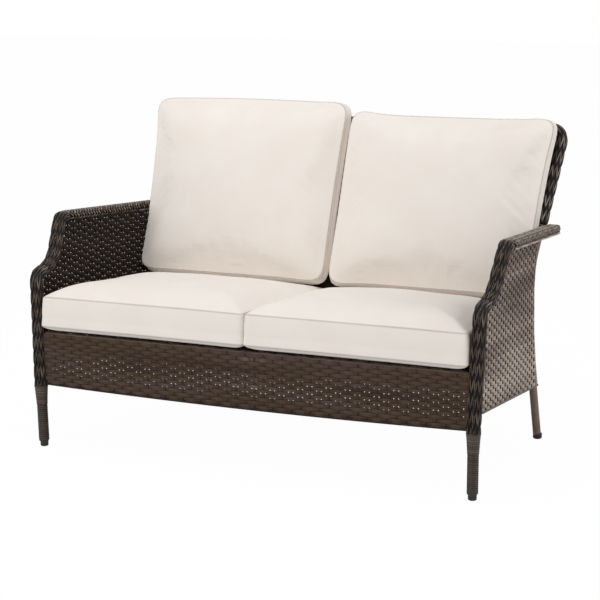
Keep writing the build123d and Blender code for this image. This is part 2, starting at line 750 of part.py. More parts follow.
# Feet: moulded glides on the front legs and moulded caps on the rear legs
for word in sides:
    with BuildPart() as front_glide:
        with BuildSketch(Plane(origin=leg_points[word][0], z_dir=(0, 0, 1))):
            Circle(glide_radius)
        extrude(amount=glide_height)
        fillet(front_glide.edges().group_by(Axis.Z)[0], glide_rounding)
        add(arm_rods[word], mode=Mode.SUBTRACT)
    front_glide.part.label = word + "_front_glide"
    export_step(front_glide.part, "parts/" + word + "_front_glide.step")
    with BuildPart() as rear_cap:
        with BuildSketch(Plane(origin=rear_feet[word], z_dir=(0, 0, 1))):
            Circle(cap_radius)
        extrude(amount=cap_height)
        fillet(rear_cap.edges().group_by(Axis.Z)[0], cap_rounding)
        add(post_rods[word], mode=Mode.SUBTRACT)
    rear_cap.part.label = word + "_rear_cap"
    export_step(rear_cap.part, "parts/" + word + "_rear_cap.step")

# Seat cushions: flat under, boxed sides that pull in between the corners, crowned on top and
# pressed lower at the rear, where the back cushions stand
seat_base = rail_radius + deck_thickness + cushion_clearance
seat_top_seam = seat_bottom_seam + seat_boxing
seat_levels = (
    (0, seat_base_inset, seat_base_inset),
    (seat_bottom_seam, 0, 0),
    (seat_top_seam, 0, 0),
    (seat_top_seam + seat_shoulder_rise, seat_shoulder_inset, seat_shoulder_rear_inset),
    (seat_top_seam + seat_crown_rise, seat_crown_inset, seat_crown_rear_inset),
    (seat_top_seam + seat_top_rise, seat_top_inset, seat_top_rear_inset),
)
for word, side in sides.items():
    with BuildPart() as seat_cushion:
        for rise, inset, rear_inset in seat_levels:
            inner = seat_cushion_gap + inset
            outer_front = seat_cushion_front_half - inset
            outer_rear = seat_cushion_rear_half - inset
            near = inset - seat_cushion_lead
            far = seat_cushion_length - seat_cushion_lead - rear_inset
            outer_middle = (outer_front + outer_rear) / 2 - side_pull_in
            with BuildSketch(seat_plane.offset(seat_base + rise)) as outline:
                with BuildLine():
                    ThreePointArc((side * inner, near), (side * (inner + outer_front) / 2, near + side_pull_in),
                                  (side * outer_front, near))
                    ThreePointArc((side * outer_front, near), (side * outer_middle, (near + far) / 2),
                                  (side * outer_rear, far))
                    ThreePointArc((side * outer_rear, far), (side * (inner + outer_rear) / 2, far - side_pull_in),
                                  (side * inner, far))
                    Line((side * inner, far), (side * inner, near))
                make_face()
                fillet(outline.vertices(), cushion_corner)
        loft(ruled=True)
    seat_cushion.part.label = word + "_seat_cushion"
    export_step(seat_cushion.part, "parts/" + word + "_seat_cushion.step")

# Back cushions: leaning on the woven back, wider at the top, crowned in front
lean = radians(back_cushion_lean)
back_plane = Plane(origin=(0, front_line_y + back_cushion_step, back_cushion_foot_height), x_dir=(1, 0, 0),
                   z_dir=(0, -cos(lean), sin(lean)))
back_levels = (
    (-back_boxing - back_rear_rise, back_rear_inset),
    (-back_boxing, back_rear_taper),
    (0, 0),
    (back_shoulder_rise, back_shoulder_inset),
    (back_crown_rise, back_crown_inset),
    (back_top_rise, back_top_inset),
)
for word, side in sides.items():
    if side < 0:
        cushion_length = back_cushion_length + left_back_extra
        top_bow = left_top_swell
    else:
        cushion_length = back_cushion_length
        top_bow = -back_top_pull_in
    with BuildPart() as back_cushion:
        for rise, inset in back_levels:
            inner = back_cushion_gap + inset
            outer_foot = back_cushion_foot_half - inset
            outer_top = back_cushion_top_half - inset
            low = inset
            high = cushion_length - inset
            outer_middle = (outer_foot + outer_top) / 2 - side_pull_in
            with BuildSketch(back_plane.offset(rise)) as outline:
                with BuildLine():
                    ThreePointArc((side * inner, low), (side * (inner + outer_foot) / 2, low - back_bottom_swell),
                                  (side * outer_foot, low))
                    ThreePointArc((side * outer_foot, low), (side * outer_middle, (low + high) / 2),
                                  (side * outer_top, high))
                    ThreePointArc((side * outer_top, high), (side * (inner + outer_top) / 2, high + top_bow),
                                  (side * inner, high))
                    Line((side * inner, high), (side * inner, low))
                make_face()
                fillet(outline.vertices(), back_cushion_corner)
        loft(ruled=True)
    back_cushion.part.label = word + "_back_cushion"
    export_step(back_cushion.part, "parts/" + word + "_back_cushion.step")
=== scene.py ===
import json
import bmesh
import bpy
import numpy as np
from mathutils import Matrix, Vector


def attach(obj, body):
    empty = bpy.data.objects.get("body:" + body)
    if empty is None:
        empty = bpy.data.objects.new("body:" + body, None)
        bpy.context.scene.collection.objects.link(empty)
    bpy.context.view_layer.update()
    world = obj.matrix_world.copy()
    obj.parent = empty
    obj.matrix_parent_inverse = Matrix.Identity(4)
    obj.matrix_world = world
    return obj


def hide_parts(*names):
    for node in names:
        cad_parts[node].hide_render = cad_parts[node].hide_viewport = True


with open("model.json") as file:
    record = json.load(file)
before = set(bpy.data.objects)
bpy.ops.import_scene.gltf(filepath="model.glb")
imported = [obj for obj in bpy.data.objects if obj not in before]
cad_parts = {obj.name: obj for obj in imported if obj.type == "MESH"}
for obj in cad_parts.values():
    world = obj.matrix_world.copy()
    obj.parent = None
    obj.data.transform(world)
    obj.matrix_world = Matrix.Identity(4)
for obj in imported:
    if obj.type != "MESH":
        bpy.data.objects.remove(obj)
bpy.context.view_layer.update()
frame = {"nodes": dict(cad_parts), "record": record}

# Steel frame: bent and welded tubes, 18 to 22 mm across, under the weave.
# Powder coated dark brown, which gives a satin skin with a faint orange peel.


def linear(code):
    """An sRGB hex colour as linear red, green and blue with full alpha."""
    parts = [int(code[i:i + 2], 16) / 255 for i in (1, 3, 5)]
    return [p / 12.92 if p <= 0.04045 else ((p + 0.055) / 1.055) ** 2.4 for p in parts] + [1.0]


def put(tree, kind, inputs=None, **settings):
    """Adds one node to a tree, with its settings, and its input values or the sockets that feed them."""
    node = tree.nodes.new(kind)
    for key, value in settings.items():
        setattr(node, key, value)
    for key, value in (inputs or {}).items():
        if isinstance(value, bpy.types.NodeSocket):
            tree.links.new(value, node.inputs[key])
        else:
            node.inputs[key].default_value = value
    return node


def add_object(name, data):
    """A new object in the scene."""
    made = bpy.data.objects.new(name, data)
    bpy.context.scene.collection.objects.link(made)
    return made


def start_material(name, **finish):
    """A new material with its node tree and its Principled shader, whose named inputs get fixed values."""
    material = bpy.data.materials.new(name)
    material.use_nodes = True
    shader = material.node_tree.nodes["Principled BSDF"]
    for key, value in finish.items():
        shader.inputs[key.replace("_", " ")].default_value = value
    return material, material.node_tree, shader


def place_on_object(tree):
    return put(tree, "ShaderNodeTexCoord").outputs["Object"]


def noise(tree, where, width, detail):
    """Noise whose patches are about as wide as a length in metres."""
    made = put(tree, "ShaderNodeTexNoise", {"Vector": where, "Scale": 1 / width, "Detail": detail})
    return made.outputs["Fac"]


def colour_steps(tree, factor, steps):
    """A colour ramp fed by one factor, from a list of places and hex colours."""
    ramp = put(tree, "ShaderNodeValToRGB", {"Fac": factor})
    while len(ramp.color_ramp.elements) < len(steps):
        ramp.color_ramp.elements.new(0.5)
    for element, (place, code) in zip(ramp.color_ramp.elements, steps):
        element.position = place
        element.color = linear(code)
    return ramp.outputs["Color"]


def finish_surface(tree, shader, colour, height, strength, distance):
    """Feeds the shader its colour, and a bump from a height factor over a distance in metres."""
    tree.links.new(colour, shader.inputs["Base Color"])
    bump = put(tree, "ShaderNodeBump", {"Height": height, "Strength": strength, "Distance": distance})
    tree.links.new(bump.outputs["Normal"], shader.inputs["Normal"])


def dress(slot, material):
    """Gives every CAD node of one material slot its material."""
    for row in frame["record"]["subparts"]:
        if row["material_slot"] == slot:
            mesh = frame["nodes"][row["node"]].data
            mesh.materials.clear()
            mesh.materials.append(material)


# The tone is cloudy over about 60 mm, and the orange peel is drawn 2 mm wide so that it shows.
steel, tree, shader = start_material("powder_coated_steel_tube", Roughness=0.42)
where = place_on_object(tree)
tone = colour_steps(tree, noise(tree, where, 0.060, 3.0), [(0.3, "#6f5c51"), (0.7, "#806c60")])
finish_surface(tree, shader, tone, noise(tree, where, 0.002, 1.0), 0.12, 0.0004)
dress("frame_steel", steel)

# Foot glides and rear caps: injection moulded polyethylene, nearly black, pushed on the tube ends.
# The moulding leaves a soft sheen and the ground leaves scuffs about 6 mm wide.
plastic, tree, shader = start_material("moulded_polyethylene_foot", Roughness=0.5)
scuff = noise(tree, place_on_object(tree), 0.006, 4.0)
tone = colour_steps(tree, scuff, [(0.35, "#171412"), (0.7, "#262220")])
finish_surface(tree, shader, tone, scuff, 0.15, 0.0005)
dress("foot_plastic", plastic)

# Woven apron: flat extruded resin strands, 10 mm wide, each passing in front of and behind upright ribs
# every 26 mm. Dark brown with olive and purple-brown strands mixed in, and small gaps beside the ribs.
both_sides = (("left", -1), ("right", 1))
x_direction = np.array([1.0, 0.0, 0.0])
front_line = -0.3534
rib_pitch = 0.026
rib_half_width = 0.0026
rib_point_spacing = 0.018
row_overlap = 0.14
row_end_taper = 0.020
row_flatness = 2.2
hole_from_rib = 0.0065
hole_reach = 0.0014
ribs_each_way = 23
# Shifts from one strand to the next, so that no two have the same grooves.
row_shift_along = 0.31
row_shift_across = 0.37
rib_shift = 0.17


def strand_material(name, steps, roughness, specular, groove_depth):
    """Extruded resin strand: the piece's own shade picks the colour and fine grooves run along the strand."""
    material, tree, shader = start_material(name, Roughness=roughness, Specular_IOR_Level=specular)
    shade = put(tree, "ShaderNodeAttribute", attribute_name="shade").outputs["Fac"]
    along = put(tree, "ShaderNodeUVMap", uv_map="strand").outputs["UV"]
    # The extruded grooves are 0.4 mm apart, drawn 1.2 mm apart so that they show.
    stretch = put(tree, "ShaderNodeMapping", {"Vector": along, "Scale": (25.0, 1 / 0.0012, 1.0)})
    groove = noise(tree, stretch.outputs["Vector"], 1.0, 2.0)
    streak = put(tree, "ShaderNodeMath", {0: groove, 1: 0.24}, operation="MULTIPLY").outputs["Value"]
    mixed = put(tree, "ShaderNodeMath", {0: shade, 1: streak}, operation="ADD").outputs["Value"]
    shifted = put(tree, "ShaderNodeMath", {0: mixed, 1: 0.12}, operation="SUBTRACT", use_clamp=True)
    tone = colour_steps(tree, shifted.outputs["Value"], steps)
    finish_surface(tree, shader, tone, groove, groove_depth, 0.0006)
    return material


woven_resin = strand_material("extruded_resin_woven_strand", [
    (0.0, "#120d0a"), (0.2, "#2a1f19"), (0.35, "#43332a"), (0.47, "#4b3c2e"), (0.6, "#50403c"),
    (0.8, "#7d6e65"), (1.0, "#b3a69a")], 0.55, 0.12, 0.3)


class Strips:
    """Gathers many strips to make one piece."""

    def __init__(self):
        self.points, self.quads, self.caps, self.uvs, self.shades = [], [], [], [], []
        self.count = 0

    def add(self, points, along, across, shade):
        """Adds one closed strip: its points ring by ring, places along and across it, and shades."""
        rings = points.shape[:2]
        stations, corners = rings
        corner = np.arange(corners)
        following = (corner + 1) % corners
        ring = self.count + np.arange(stations - 1)[:, None] * corners
        after = ring + corners
        faces = np.stack([ring + corner, after + corner, after + following, ring + following], -1)
        self.quads.append(faces.reshape(-1, 4))
        self.caps.extend([self.count + corner[::-1], self.count + (stations - 1) * corners + corner])
        self.points.append(points.reshape(-1, 3))
        self.uvs.append(np.stack([np.broadcast_to(place, rings).ravel() for place in (along, across)], -1))
        self.shades.append(np.broadcast_to(shade, rings).ravel())
        self.count += stations * corners

    def make(self, name, material, nodes, body="frame"):
        """A closed smooth mesh of all the strips, turned outwards, that stands for CAD nodes."""
        points, quads = np.concatenate(self.points), np.concatenate(self.quads)
        uv, shade = np.concatenate(self.uvs), np.clip(np.concatenate(self.shades), 0, 1)
        mesh = bpy.data.meshes.new(name)
        mesh.from_pydata(points.tolist(), [], quads.tolist() + [list(map(int, cap)) for cap in self.caps])
        turned = bmesh.new()
        turned.from_mesh(mesh)
        bmesh.ops.recalc_face_normals(turned, faces=turned.faces)
        turned.to_mesh(mesh)
        turned.free()
        mesh.polygons.foreach_set("use_smooth", np.ones(len(mesh.polygons), bool))
        corner_points = np.zeros(len(mesh.loops), np.int32)
        mesh.loops.foreach_get("vertex_index", corner_points)
        layer = mesh.uv_layers.new(name="strand")
        layer.data.foreach_set("uv", uv[corner_points].astype(np.float32).ravel())
        attribute = mesh.attributes.new("shade", "FLOAT", "POINT")
        attribute.data.foreach_set("value", shade.astype(np.float32))
        mesh.materials.append(material)
        mesh.update()
        piece = add_object(name, mesh)
        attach(piece, body)
        if nodes:
            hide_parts(*nodes)
        return piece


# A strand's section: its flat faces carry most of the width, and its edges are thin.
strand_section = np.array([(1.0, 0.0), (0.8, 1.0), (-0.8, 1.0), (-1.0, 0.0), (-0.8, -1.0), (0.8, -1.0)])


def flat_strip(along, up, out, half_width, half_depth, crosswise):
    """Places along, up and out of the rings of one flat strip. Its width goes up where it runs crosswise, and
    along where it stands."""
    width = strand_section[:, 0] * np.broadcast_to(half_width, along.shape)[:, None]
    depth = strand_section[:, 1] * half_depth
    return (along[:, None] + width * (not crosswise), up[:, None] + width * crosswise,
            out[:, None] + depth + 0 * width)


def slow_noise(places, spacing, seed):
    """Even random values joined smoothly, one knot for each spacing."""
    rng = np.random.default_rng(seed)
    knots = rng.random(int(np.ptp(places) / spacing) + 3)
    return np.interp((places - places.min()) / spacing, np.arange(len(knots)), knots)


def row_tone(along, row, rows, seed, spread, fade, chance):
    """Tone along one row: slow patches that last about three rows, quicker streaks, and one share of chance
    for the whole strand. fade darkens the top rows."""
    patch_length = 0.30
    streak_length = 0.09
    low = slow_noise(along, patch_length, seed * 7 + row // 3)
    high = slow_noise(along, patch_length, seed * 7 + row // 3 + 1)
    patch = low + (high - low) * (row % 3) / 3
    patch += 0.35 * (slow_noise(along, streak_length, seed * 31 + row) - 0.5)
    return spread * (patch - 0.5) + 0.25 * spread * (chance - 0.5) + fade * (0.5 - row / rows)


def weave(name, surface, row_span, rib_span, rows, pitch, station, lift, strand_depth, hole, seed, nodes,
          front_tone, rear_tone, spread=0.3, fade=0.0, paired=True):
    """A plain weave. Row strands rise and fall by a flattened cosine, neighbours opposite, and ribs stand
    straight in the middle. Rows overlap. Beside a rib that a row covers, the row's lower edge is drawn up to
    leave a small hole, on both sides of the rib where holes are paired and else on one. surface turns (along,
    up, out) into points, and hole(row, along) gives the height of the holes."""
    rng = np.random.default_rng(seed)
    strips = Strips()
    for row in range(rows):
        start, stop = row_span(row)
        if stop - start < rib_pitch:
            continue
        # The rings stand on one grid for all rows, so that they meet the holes beside each rib.
        grid = np.arange(np.ceil(start / station + 0.3), stop / station - 0.3) * station
        along = np.concatenate([[start], grid, [stop]])
        wave = np.cos(np.pi * (along / rib_pitch + row))
        ends = np.clip(np.minimum(along - start, stop - along) / row_end_taper, 0, 1)
        out = lift * ends * np.tanh(row_flatness * wave) / np.tanh(row_flatness)
        from_rib = along - rib_pitch * np.round(along / rib_pitch)
        from_hole = (np.abs(from_rib) if paired else from_rib) - hole_from_rib
        height = hole(row, along)
        opened = (height > 0) * (height + row_overlap * pitch) * (wave > 0)
        raised = opened * np.exp(-(from_hole / hole_reach) ** 2) / 2
        middle = (row + 0.5) * pitch + raised
        half = pitch * (1 + row_overlap) / 2 - raised
        strip = flat_strip(along, middle, out, half, strand_depth / 2, True)
        across = (strand_section[:, 0] + 1) / 2 * pitch + row * row_shift_across
        tone = row_tone(along, row, rows, seed, spread, fade, rng.random())
        # Each strand's tone blends from its rear face's tone to its front face's; where these differ, as on
        # the sides, this carries painted light and painted shade.
        side_tone = rear_tone + (front_tone - rear_tone) * (strand_section[:, 1] + 1) / 2
        # Painted shade and highlight: a strand is darker midway between ribs, where it dives through the
        # weave, and lighter where it lies over or behind a rib.
        crest = 0.10 * np.abs(np.tanh(row_flatness * wave)) - 0.06
        strips.add(surface(*strip), along[:, None] + row * row_shift_along, across,
                   (tone + crest)[:, None] + side_tone)
    for rib in range(-ribs_each_way, ribs_each_way + 1):
        low, high = rib_span(rib * rib_pitch)
        if high - low < 2 * pitch:
            continue
        up = np.linspace(low, high, int((high - low) / rib_point_spacing) + 2)
        along = np.full_like(up, rib * rib_pitch)
        strip = flat_strip(along, up, 0 * up, rib_half_width, strand_depth / 2, False)
        # The ribs take the darker face's tone and 0.1 less: painted shade deep in the weave.
        strips.add(surface(*strip), up[:, None] + rib * rib_shift, strand_section[:, 0] * rib_half_width,
                   min(front_tone, rear_tone) - 0.1)
    strips.make(name, woven_resin, nodes)


apron_top = 0.316
apron_ends = 0.179
apron_sag = 0.008
apron_half = 0.606
apron_foot_half = 0.600
apron_rows = 14
apron_pitch = 0.0100
apron_middle_y = front_line - 0.020
fine_station = rib_pitch / 8


def apron_surface(along, up, out):
    """Upright sheet whose foot sags as a parabola. The rows spread evenly from it to the straight top."""
    foot = apron_ends - apron_sag * (1 - (along / apron_foot_half) ** 2)
    height = foot + up / (apron_rows * apron_pitch) * (apron_top - foot)
    return np.stack([along, apron_middle_y - out, height], -1)


def apron_hole(row, along):
    """Holes up to 3 mm high in the middle rows, in soft patches, and next to none near the edges."""
    share = np.exp(-((row - 6.0) / 3.8) ** 6)
    return share * 0.0030 * np.clip(1.5 * slow_noise(along, 0.13, 50 + row) + 0.30, 0, 1)


weave("woven_apron", apron_surface, lambda row: (-apron_half, apron_half),
      lambda along: (0.001, apron_rows * apron_pitch - 0.001), apron_rows, apron_pitch, fine_station,
      lift=0.0016, strand_depth=0.0017, hole=apron_hole, seed=11, nodes=["front_apron"],
      front_tone=0.47, rear_tone=0.42)

# Rolled foot of the apron: one thicker strand bound along the lower edge.
# The same resin, drawn as a cord of wound turns.
binding_radius = 0.0034
binding_corners = 10
binding_turn = 0.006
plaited_resin = strand_material("extruded_resin_plaited_strand", [
    (0.0, "#080504"), (0.3, "#17100c"), (0.55, "#2e231c"), (0.8, "#62564c"), (1.0, "#beb1a3")],
    0.38, 0.20, 0.3)


def unit(vectors):
    """Vectors of length one, along the last axis."""
    return vectors / np.linalg.norm(vectors, axis=-1, keepdims=True)


def ring_points(side, out, angle):
    """Points round an ellipse whose half axes are side and out."""
    return side[..., None, :] * np.cos(angle)[:, None] + out[..., None, :] * np.sin(angle)[:, None]


def flat_normals(outline):
    """Unit normals of a closed flat outline, to the right of its run."""
    run = np.roll(outline, -1, axis=0) - np.roll(outline, 1, axis=0)
    return unit(np.stack([run[:, 1], -run[:, 0]], -1))


def length_along(line):
    """Distance of each point of a line from its start."""
    return np.concatenate([[0], np.cumsum(np.linalg.norm(np.diff(line, axis=0), axis=1))])


def resample(line, length, places):
    """Points of a line at places along its length."""
    return np.stack([np.interp(places, length, values) for values in line.T], -1)


def bound_edge(name, centre, tone, radius=binding_radius):
    """A bound edge strand: a thin tube along a line of points, with low turns as a cosine of its length. The
    turns are painted lighter on their crests and darker in the grooves between them, painted shade.
    """
    step = unit(np.gradient(centre, axis=0))
    side = unit(np.cross(step, [0.0, 0.0, 1.0]))
    out = np.cross(side, step)
    length = length_along(centre)
    angle = np.arange(binding_corners) * 2 * np.pi / binding_corners
    turns = np.cos(2 * np.pi * length[:, None] / binding_turn + angle)
    ring = ring_points(side, out, angle)
    points = centre[:, None] + ring * (radius * (0.93 + 0.07 * turns))[..., None]
    strips = Strips()
    # Painted shade: the tone follows the turns, lighter on their crests and darker in the grooves.
    strips.add(points, length[:, None], angle * radius, tone + 0.12 * turns)
    strips.make(name, plaited_resin, [])


def sheet_line(surface, start, stop, count, up, out=0.0):
    """Points along one level line of a sheet."""
    return surface(np.linspace(start, stop, count), np.full(count, up), np.full(count, out))


bound_edge("apron_foot_binding", sheet_line(apron_surface, -apron_foot_half, apron_foot_half, 800, -0.0015),
           0.25)

# Woven sides: the same plain weave, hung between the arm, the front leg and the rear post.
# They toe in to the rear and lean out above the seat, and their foot rises to the front.
side_toe = (-0.008, 0.222)
side_heel = (0.622, 0.151)
side_crest = (0.134, 0.607)
side_arm_rear = (0.621, 0.582)
side_shape = np.array([side_toe, side_heel, (0.598, 0.214), (0.577, 0.310), (0.580, 0.479), (0.627, 0.582),
                       side_crest, (0.072, 0.497), (side_toe[0], 0.460)])
side_rows = 42
side_pitch = 0.0100
side_rear_step = 0.578
half_weave = 0.004
# Height of a level across the side, and the half width of the loveseat there, in front and at the rear.
side_levels = ((0.140, 0.638, 0.599), (0.430, 0.638, 0.592), (0.640, 0.648, 0.599))
side_foot_line = (-0.004, 0.618)


def on_line(place, start, stop):
    """Value at a place of the straight line through two points of (place, value)."""
    return start[1] + (place - start[0]) / (stop[0] - start[0]) * (stop[1] - start[1])


def side_height(step, up):
    """Height of a place on the side: an even share of the way from the slanted foot to the arm's line."""
    foot = on_line(step, side_toe, side_heel)
    return foot + up / (side_rows * side_pitch) * (on_line(step, side_crest, side_arm_rear) - foot)


def side_half(step, height):
    """Half width of the outer face: straight from front to rear at three levels, and between them."""
    low, middle, high = [(level, on_line(step, (side_toe[0], front), (side_rear_step, rear)))
                         for level, front, rear in side_levels]
    return np.where(height < middle[0], on_line(height, low, middle), on_line(height, middle, high))


def inside(shape, x, y):
    """Whether points lie in a polygon, by the parity of the edges that a level line crosses."""
    count = np.zeros(x.shape, int)
    for (x0, y0), (x1, y1) in zip(shape, np.roll(shape, -1, axis=0)):
        crosses = (y0 > y) != (y1 > y)
        reach = x0 + (y - y0) / (y1 - y0 + 1e-12) * (x1 - x0)
        count += crosses & (x < reach)
    return count % 2 == 1


def longest_run(places, keep):
    """The ends of the longest unbroken run of kept places."""
    if not keep.any():
        return 0.0, 0.0
    edges = np.flatnonzero(np.diff(np.concatenate([[0], keep.astype(int), [0]])))
    starts, stops = edges[::2], edges[1::2] - 1
    best = np.argmax(stops - starts)
    return places[starts[best]], places[stops[best]]


def side_row_span(row):
    """From where to where a row of the side runs."""
    steps = np.linspace(-0.02, 0.63, 1301)
    return longest_run(steps, inside(side_shape, steps, side_height(steps, (row + 0.5) * side_pitch)))


def side_rib_span(step):
    """From where to where an upright rib of the side stands."""
    ups = np.linspace(0, side_rows * side_pitch, 841)
    return longest_run(ups, inside(side_shape, np.full(841, step), side_height(step, ups)))


def woven_side(word, sign):
    """One woven side with the bound strand along its foot. The holes are small, and the left side has bigger
    ones, on both sides of the ribs, and a few wide slots behind its front band."""
    left = sign < 0
    level = 0.0012 if left else 0.0004

    def surface(along, up, out):
        height = side_height(along, up)
        half = side_half(along, height) - half_weave
        return np.stack([sign * (half + out), front_line + along + 0.07 * out, height], -1)

    def hole(row, along):
        soft = level * (0.5 + 0.5 * slow_noise(along, 0.09, 70 + row + sign))
        near = np.exp(-((along - side_row_span(row)[0] - 0.012) / 0.016) ** 2)
        return soft + left * (row % 3 == 1) * (24 < row < 40) * 0.0034 * near

    # The outer face is painted much lighter than the inner one: a painted highlight for the light and sheen
    # from the right outside, and painted shade inside.
    weave("woven_%s_side" % word, surface, side_row_span, side_rib_span, side_rows, side_pitch,
          fine_station, lift=0.0017, strand_depth=0.0018, hole=hole, seed=23 + sign,
          nodes=[word + "_side_panel"], front_tone=0.81, rear_tone=0.17, spread=0.22, fade=0.22, paired=left)
    bound_edge("%s_side_foot_binding" % word, sheet_line(surface, *side_foot_line, 420, -0.001, 0.001), 0.75)


for word, sign in both_sides:
    woven_side(word, sign)

# Woven back: one sheet between the rear posts, from the top braid to the rear foot rail.
# It follows the rake of the posts, so it is straight at the foot, waisted at the seat and leans back above.
back_corners = np.array([(0.615, 0.160), (0.590, 0.222), (0.573, 0.310), (0.575, 0.479), (0.7215, 0.836)])
back_corner_radii = [0.120, 0.400, 0.300]
back_rounding_height = 0.818
back_rounding_half = 0.613
post_heights = [0, 0.310, 0.479, 0.852]
post_halves = [0.5995, 0.576, 0.5765, 0.620]


def rounded_line(points, radii, spacing):
    """A line of straight runs and arcs at its inner corners, as evenly spaced points."""
    line = [points[0]]
    for corner, after, radius in zip(points[1:-1], points[2:], radii):
        incoming = unit(corner - line[-1])
        outgoing = unit(after - corner)
        turn = np.arccos(np.clip(incoming @ outgoing, -1, 1))
        toward = unit(outgoing - incoming)
        centre = corner + toward * radius / np.cos(turn / 2)
        angles = np.linspace(-turn / 2, turn / 2, 24)[:, None]
        forward = unit(incoming + outgoing)
        line.extend(centre + radius * (-toward * np.cos(angles) + forward * np.sin(angles)))
    line = np.array(line + [points[-1]])
    length = length_along(line)
    places = np.linspace(0, length[-1], max(int(length[-1] / spacing), 2) + 1)
    return resample(line, length, places), places


back_line, back_up = rounded_line(back_corners, back_corner_radii, 0.002)
back_slope = np.gradient(back_line, back_up, axis=0)
back_rows = int(back_up[-1] / 0.0102)
back_pitch = back_up[-1] / back_rows


def back_height(up):
    return np.interp(up, back_up, back_line[:, 1])


def post_half(height):
    """Half width to the centre line of the rear posts at a height."""
    return np.interp(height, post_heights, post_halves)


def back_surface(along, up, out):
    """The raked line of the posts carried across, with the lift along its forward normal."""
    step = np.interp(up, back_up, back_line[:, 0])
    lean_y = np.interp(up, back_up, back_slope[:, 0])
    lean_z = np.interp(up, back_up, back_slope[:, 1])
    return np.stack([along, front_line + step - lean_z * out, back_height(up) + lean_y * out], -1)


def back_row_span(row):
    """Between the posts, and shorter in the rounded corners under the top rail."""
    height = back_height((row + 0.5) * back_pitch)
    half = post_half(height) - 0.009
    if height > back_rounding_height:
        half = min(half, back_rounding_half - (height - back_rounding_height) * 1.4)
    return -half, half


def back_rib_span(along):
    """Where an upright rib of the back lies between the posts."""
    ups = np.linspace(0, back_up[-1], 500)
    return longest_run(ups, np.abs(along) < post_half(back_height(ups)) - 0.012)


weave("woven_back", back_surface, back_row_span, back_rib_span, back_rows, back_pitch, rib_pitch / 4,
      lift=0.0013, strand_depth=0.0018, hole=lambda row, along: 0.0004, seed=37,
      nodes=["back_panel"], front_tone=0.40, rear_tone=0.50)
bound_edge("back_foot_binding", sheet_line(back_surface, -0.582, 0.582, 700, -0.0012), 0.3)

# Woven seat deck: the same strands stretched over the seat frame, sloping down to the rear.
# The cushions hide it from above, so its weave is flatter, and it shows from below.
deck_fall = np.radians(2.9)
deck_front = np.array([0.0, front_line - 0.007, 0.310])
deck_up = np.array([0.0, np.sin(deck_fall), np.cos(deck_fall)])
deck_back = np.array([0.0, np.cos(deck_fall), -np.sin(deck_fall)])
deck_lead = 0.006
deck_level = 0.0115
deck_rows = 55
deck_pitch = 0.0102


def deck_surface(along, up, out):
    """Flat sloping sheet, 2.5 mm above the tops of the seat rails."""
    return (deck_front + along[..., None] * x_direction + (up - deck_lead)[..., None] * deck_back
            + (out + deck_level)[..., None] * deck_up)


def deck_half(up):
    """Half width of the deck, narrowing to the rear, and kept between the front bands and the rear posts."""
    half = np.interp(up, [0, 0.57], [0.624, 0.579])
    return np.where(up < 0.024, 0.599, np.where(up > 0.545, 0.560, half))


def deck_row_span(row):
    half = deck_half((row + 0.5) * deck_pitch)
    return -half, half


def deck_rib_span(along):
    ups = np.linspace(0, deck_rows * deck_pitch, 500)
    return longest_run(ups, np.abs(along) < deck_half(ups) - 0.003)


weave("woven_seat_deck", deck_surface, deck_row_span, deck_rib_span, deck_rows, deck_pitch,
      rib_pitch / 5, lift=0.0013, strand_depth=0.0011, hole=lambda row, along: 0.0008, seed=41,
      nodes=["seat_deck"], front_tone=0.2, rear_tone=0.4)

# Front bands: resin strands braided round the arm tubes, from the collars over the elbows and the hollow
# rise to the crest of the arms. Half run each way round, over two and under two, so that the band shows
# columns of long leaning leaves.
band_bottom = 0.170
band_end_step = 0.176
braid_flatness = 1.7
braid_corners = 6
core_corners = 40
core_every = 3
core_depth = 0.9
line_spacing = 0.0016
# The first of these paints strands that pass under darker and those on top lighter: painted shade and
# highlight.
braid_painted_shade = 0.48
braid_variation = 0.24
braid_mottling = 0.12
mottled_stations = 8


def arm_points(sign):
    """Corners of an arm tube's centre line: foot, bend, elbow, hollow, crest and rear."""
    places = [(0.6155, -0.014, 0.0), (0.6175, -0.020, 0.184), (0.627, -0.013, 0.474), (0.629, 0.072, 0.497),
              (0.640, 0.134, 0.6145), (0.6225, 0.621, 0.5895)]
    return [np.array([sign * half, front_line + step, height]) for half, step, height in places]


def arm_place(sign, step):
    """The point of an arm's straight top at a step behind the front line."""
    crest, rear = arm_points(sign)[4:]
    return on_line(front_line + step, (crest[1], crest), (rear[1], rear))


def rounded_outline(width, depth, corner, count):
    """Places evenly spaced once round a rectangle with round corners, from the middle of its back, and the
    point and the outward normal at each."""
    angle = np.linspace(0, np.pi / 2, 16)
    quarter = []
    for turn, (x, y) in enumerate(((1, 1), (-1, 1), (-1, -1), (1, -1))):
        turned = angle + turn * np.pi / 2
        quarter.append(np.stack([x * (width / 2 - corner) + corner * np.cos(turned),
                                 y * (depth / 2 - corner) + corner * np.sin(turned)], -1))
    middle = [(0, -depth / 2)]
    line = np.concatenate([middle, np.roll(np.concatenate(quarter), 16, axis=0), middle])
    length = length_along(line)
    places = np.arange(count + 1) * length[-1] / count
    outline = resample(line, length, places[:-1])
    section = np.concatenate([outline, flat_normals(outline)], 1)
    return places, np.concatenate([section, section[:1]])


def directions(centre, wanted):
    """Two unit directions square to a line of centres: the one nearest to a wanted direction, and the one
    that completes the three."""
    step = unit(np.gradient(centre, axis=0))
    side = unit(wanted - step * (step @ wanted)[:, None])
    return side, np.cross(side, step)


